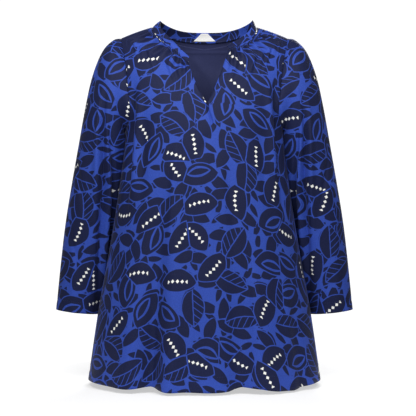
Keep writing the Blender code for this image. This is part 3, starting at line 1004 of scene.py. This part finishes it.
def printedLook():
    look = Look("printedCrepe", printed["roughness"], shine["sheen"])
    cloth = clothPlace(look)
    often, far = printed["handCut"]
    shake = look.vector("SUBTRACT", noise(look, cloth, often).outputs["Color"], (0.5, 0.5, 0.5))
    shake = look.vector("MULTIPLY", shake, (far, far, far))
    place = look.vector("ADD", cloth, shake)

    # leaves with ribs, crescents, and whole ones with a row of seeds
    spread = printed["leafShift"], printed["leafCell"]
    along, across, border, chance = scattered(look, place, *spread)
    whole = pointedOval(along, across, printed["leaf"]).least(border - printed["gap"])
    rib = abs(across) - printed["rib"]
    cutStep, cutWide, slant = printed["slit"]
    cuts = toothed(along + across * slant, cutStep) - cutWide
    slitLeaf = whole.least(rib).least(cuts.most(0 - across))
    hollow = pointedOval(along, across - printed["moonOff"], printed["moonHollow"])
    core = pointedOval(along, across - printed["moonOff"], printed["moonCore"])
    moon = whole.least(0 - hollow).most(core)
    first, second = chance[2].above(printed["moonFrom"]), chance[2].above(printed["seedsFrom"])
    leaf = slitLeaf * (1 - first) + moon * (first * (1 - second)) + whole * second
    seedLong, seedWide = printed["seed"]
    rowLong, rowOff, rowIn = printed["seedRow"]
    seed = 1 - toothed(along, printed["seedStep"]) / seedLong - abs(across - rowOff) / seedWide
    seed = (seed * seedWide).least(rowLong - abs(along)).least(whole - rowIn)
    white = seed.inside(printed["edge"]) * second

    # petals fill what is left between them
    covered = leaf
    for cell, shift, size in printed["petals"]:
        along, across, border, _ = scattered(look, place, shift, cell)
        shape = pointedOval(along, across, size).least(border - printed["petalGap"])
        covered = covered.most(shape.least(0 - covered - printed["between"]))
    navy = covered.inside(printed["edge"])

    drift = noise(look, cloth, printed["drift"], 3.0).outputs[0]
    cobalt, deep = (
        look.blend(drift, *(tinted(printed[ink], share) for share in printed[ink + "Drift"]))
        for ink in ("cobalt", "navy")
    )
    colour = look.blend(white, look.blend(navy, cobalt, deep), tinted(printed["white"]))
    look.feed("Base Color", colour)
    scale, height, strength = printed["grain"]
    look.bump(noise(look, cloth, scale, 3.0).outputs[0], height, strength)
    return look.material


plain = {
    "navyInside": ((0.034, 0.041, 0.117), 0.7, 1100.0),  # colour, roughness, weave per metre
    "labelTape": ((0.95, 0.95, 0.93), 0.55, 1500.0),
    "drift": 250.0,
    "shares": (1.1, 0.85),
    "weave": (0.0002, 0.5),  # height and strength
}


def plainLook(name):
    colour, roughness, weave = plain[name]
    look = Look(name, roughness, shine["sheen"])
    cloth = clothPlace(look)
    drift = noise(look, cloth, plain["drift"], 3.0).outputs[0]
    dyes = [tinted(colour, share) for share in plain["shares"]]
    look.feed("Base Color", look.blend(drift, *dyes))
    look.bump(noise(look, cloth, weave).outputs[0], *plain["weave"])
    return look.material


printCloth, navyCloth, whiteTape = printedLook(), plainLook("navyInside"), plainLook("labelTape")
lined = [printCloth, navyCloth]  # outside and inside
print("materials made")


# Pieces

sleeveLook = ("printed_crepe", lined, sleeves["thickness"], (0.380, 0.660), 0.206, "back")
pieceLooks = {  # slot, materials, thickness, flat size and area, what it rests on
    "front": ("printed_crepe", lined, panels["thickness"], (0.740, 0.860), 0.425, "back"),
    "back": ("printed_crepe", lined, panels["thickness"], (0.684, 0.871), 0.409, "front"),
    "sleeve_left": sleeveLook,
    "sleeve_right": sleeveLook,
    "neckband": (
        "printed_crepe", [printCloth], band["thickness"], (0.601, 0.026), 0.0125, "back"
    ),
    "back_lining": (
        "navy_lining", [navyCloth], inner["thickness"], (0.339, 0.247), 0.068, "back"
    ),
    "label": (
        "label_tape", [whiteTape], inner["labelThickness"], (0.054, 0.018), 0.00064, "neckband"
    ),
}
makers = {
    "front": (panelMesh, "front"),
    "back": (panelMesh, "back"),
    "sleeve_left": (sleeveMesh, 1),
    "sleeve_right": (sleeveMesh, -1),
    "neckband": (bandMesh,),
    "back_lining": (liningMesh,),
    "label": (labelMesh,),
}
for node, (make, *which) in makers.items():
    mesh = make(*which)
    finishCloth(node, mesh, *pieceLooks[node])
    surface = sum(face.area for face in mesh.polygons)
    print("made", node, len(mesh.polygons), "faces", round(surface, 4), "m2")


# Stitching

thread = {
    "colour": (0.020, 0.026, 0.090),
    "step": 0.0056,
    "long": 0.0038,
    "thick": 0.00055,
    "proud": 0.0001,
    "ahead": 0.001,  # where a stitch looks for its direction
    "roughness": 0.5,
    "twist": (700.0, 1.6),  # scale and strength of its lighter flecks
}


def makeStitches():
    bm = bmesh.new()
    size = Matrix.Diagonal((thread["long"] / 2, thread["thick"] / 2, thread["thick"] / 2, 1))
    for points, out in stitchLines:
        run = lengths(points[None], 1)[0]
        for at in np.arange(thread["step"], run[-1] - thread["step"] / 2, thread["step"]):
            spot, way, ahead = (
                Vector([np.interp(where, run, values[:, i]) for i in range(3)])
                for where, values in ((at, points), (at, out), (at + thread["ahead"], points))
            )
            forward = (ahead - spot).normalized()
            up = (way - forward * way.dot(forward)).normalized()
            turn = Matrix((forward, up.cross(forward), up)).transposed().to_4x4()
            place = Matrix.Translation(spot + up * thread["proud"]) @ turn @ size
            bmesh.ops.create_uvsphere(bm, u_segments=6, v_segments=4, radius=1.0, matrix=place)
    mesh = bpy.data.meshes.new("stitching")
    bm.to_mesh(mesh)
    bm.free()
    stitches = bpy.data.objects.new("stitching", mesh)
    bpy.context.scene.collection.objects.link(stitches)
    look = Look("navyThread", thread["roughness"])
    scale, light = thread["twist"]
    flecks = noise(look, look.place(), scale).outputs[0]
    dyed = look.blend(flecks, tinted(thread["colour"]), tinted(thread["colour"], light))
    look.feed("Base Color", dyed)
    mesh.materials.append(look.material)
    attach(stitches, "root")
    print("made", len(mesh.polygons), "stitch faces")


makeStitches()


# Floor, camera and light

studio = {
    "floorZ": -0.8175,
    "floorRadius": 0.50,
    "floorColour": (0.60, 0.60, 0.60),
    "floorRoughness": 0.9,
    "floorGlow": 0.53,
    "camera": (0.0083, -2.6, -0.413),
    "lens": 98.0,
    "sky": 0.19,  # how much the white surroundings light the dress
    "skySeen": 1.1,  # and how bright they are to look at
    "aim": (0, 0, -0.4),
    "lights": [  # name, place, size, watts
        ("key", (-0.42, -1.10, 0.50), 0.8, 14.3),
        ("fill", (0.62, -1.15, 0.50), 0.9, 10.0),
        ("behind", (0.5, 2.4, 1.2), 1.6, 60.0),
    ],
}


def makeFloor():
    bm = bmesh.new()
    bmesh.ops.create_circle(bm, cap_ends=True, segments=96, radius=studio["floorRadius"])
    bmesh.ops.translate(bm, verts=bm.verts[:], vec=(0, 0, studio["floorZ"]))
    mesh = bpy.data.meshes.new("floor")
    bm.to_mesh(mesh)
    bm.free()
    floor = bpy.data.objects.new("floor", mesh)
    bpy.context.scene.collection.objects.link(floor)
    look = Look("floorPaint", studio["floorRoughness"])
    look.shader.inputs["Base Color"].default_value = tinted(studio["floorColour"])
    look.shader.inputs["Emission Color"].default_value = tinted((1.0, 1.0, 1.0))
    look.shader.inputs["Emission Strength"].default_value = studio["floorGlow"]
    mesh.materials.append(look.material)


def aimed(thing, target):
    # turns a lamp, which shines along -Z, towards a point
    return (Vector(target) - thing.location).to_track_quat("-Z", "Y").to_euler()


def makeSky():
    # plain white to look at, softer as a light
    world = bpy.data.worlds.new("studio")
    world.use_nodes = True
    nodes, links = world.node_tree.nodes, world.node_tree.links
    seen = nodes.new("ShaderNodeLightPath").outputs["Is Camera Ray"]
    strength = nodes.new("ShaderNodeMapRange")
    strength.inputs["To Min"].default_value = studio["sky"]
    strength.inputs["To Max"].default_value = studio["skySeen"]
    links.new(seen, strength.inputs["Value"])
    links.new(strength.outputs[0], nodes["Background"].inputs["Strength"])
    nodes["Background"].inputs["Color"].default_value = tinted((1.0, 1.0, 1.0))
    bpy.context.scene.world = world


def makeStudio():
    for name, place, size, watts in studio["lights"]:
        lamp = bpy.data.lights.new(name, "AREA")
        lamp.shape, lamp.size, lamp.energy = "DISK", size, watts
        light = bpy.data.objects.new(name, lamp)
        bpy.context.scene.collection.objects.link(light)
        light.location = place
        light.rotation_euler = aimed(light, studio["aim"])
    cameraData = bpy.data.cameras.new("camera")
    cameraData.lens, cameraData.sensor_width = studio["lens"], 36.0
    camera = bpy.data.objects.new("camera", cameraData)
    camera.location = studio["camera"]
    camera.rotation_euler = (radians(90), 0, 0)
    bpy.context.scene.collection.objects.link(camera)
    bpy.context.scene.camera = camera
    bpy.context.scene.view_settings.view_transform = "Standard"


makeFloor()
makeSky()
makeStudio()
print("studio made")
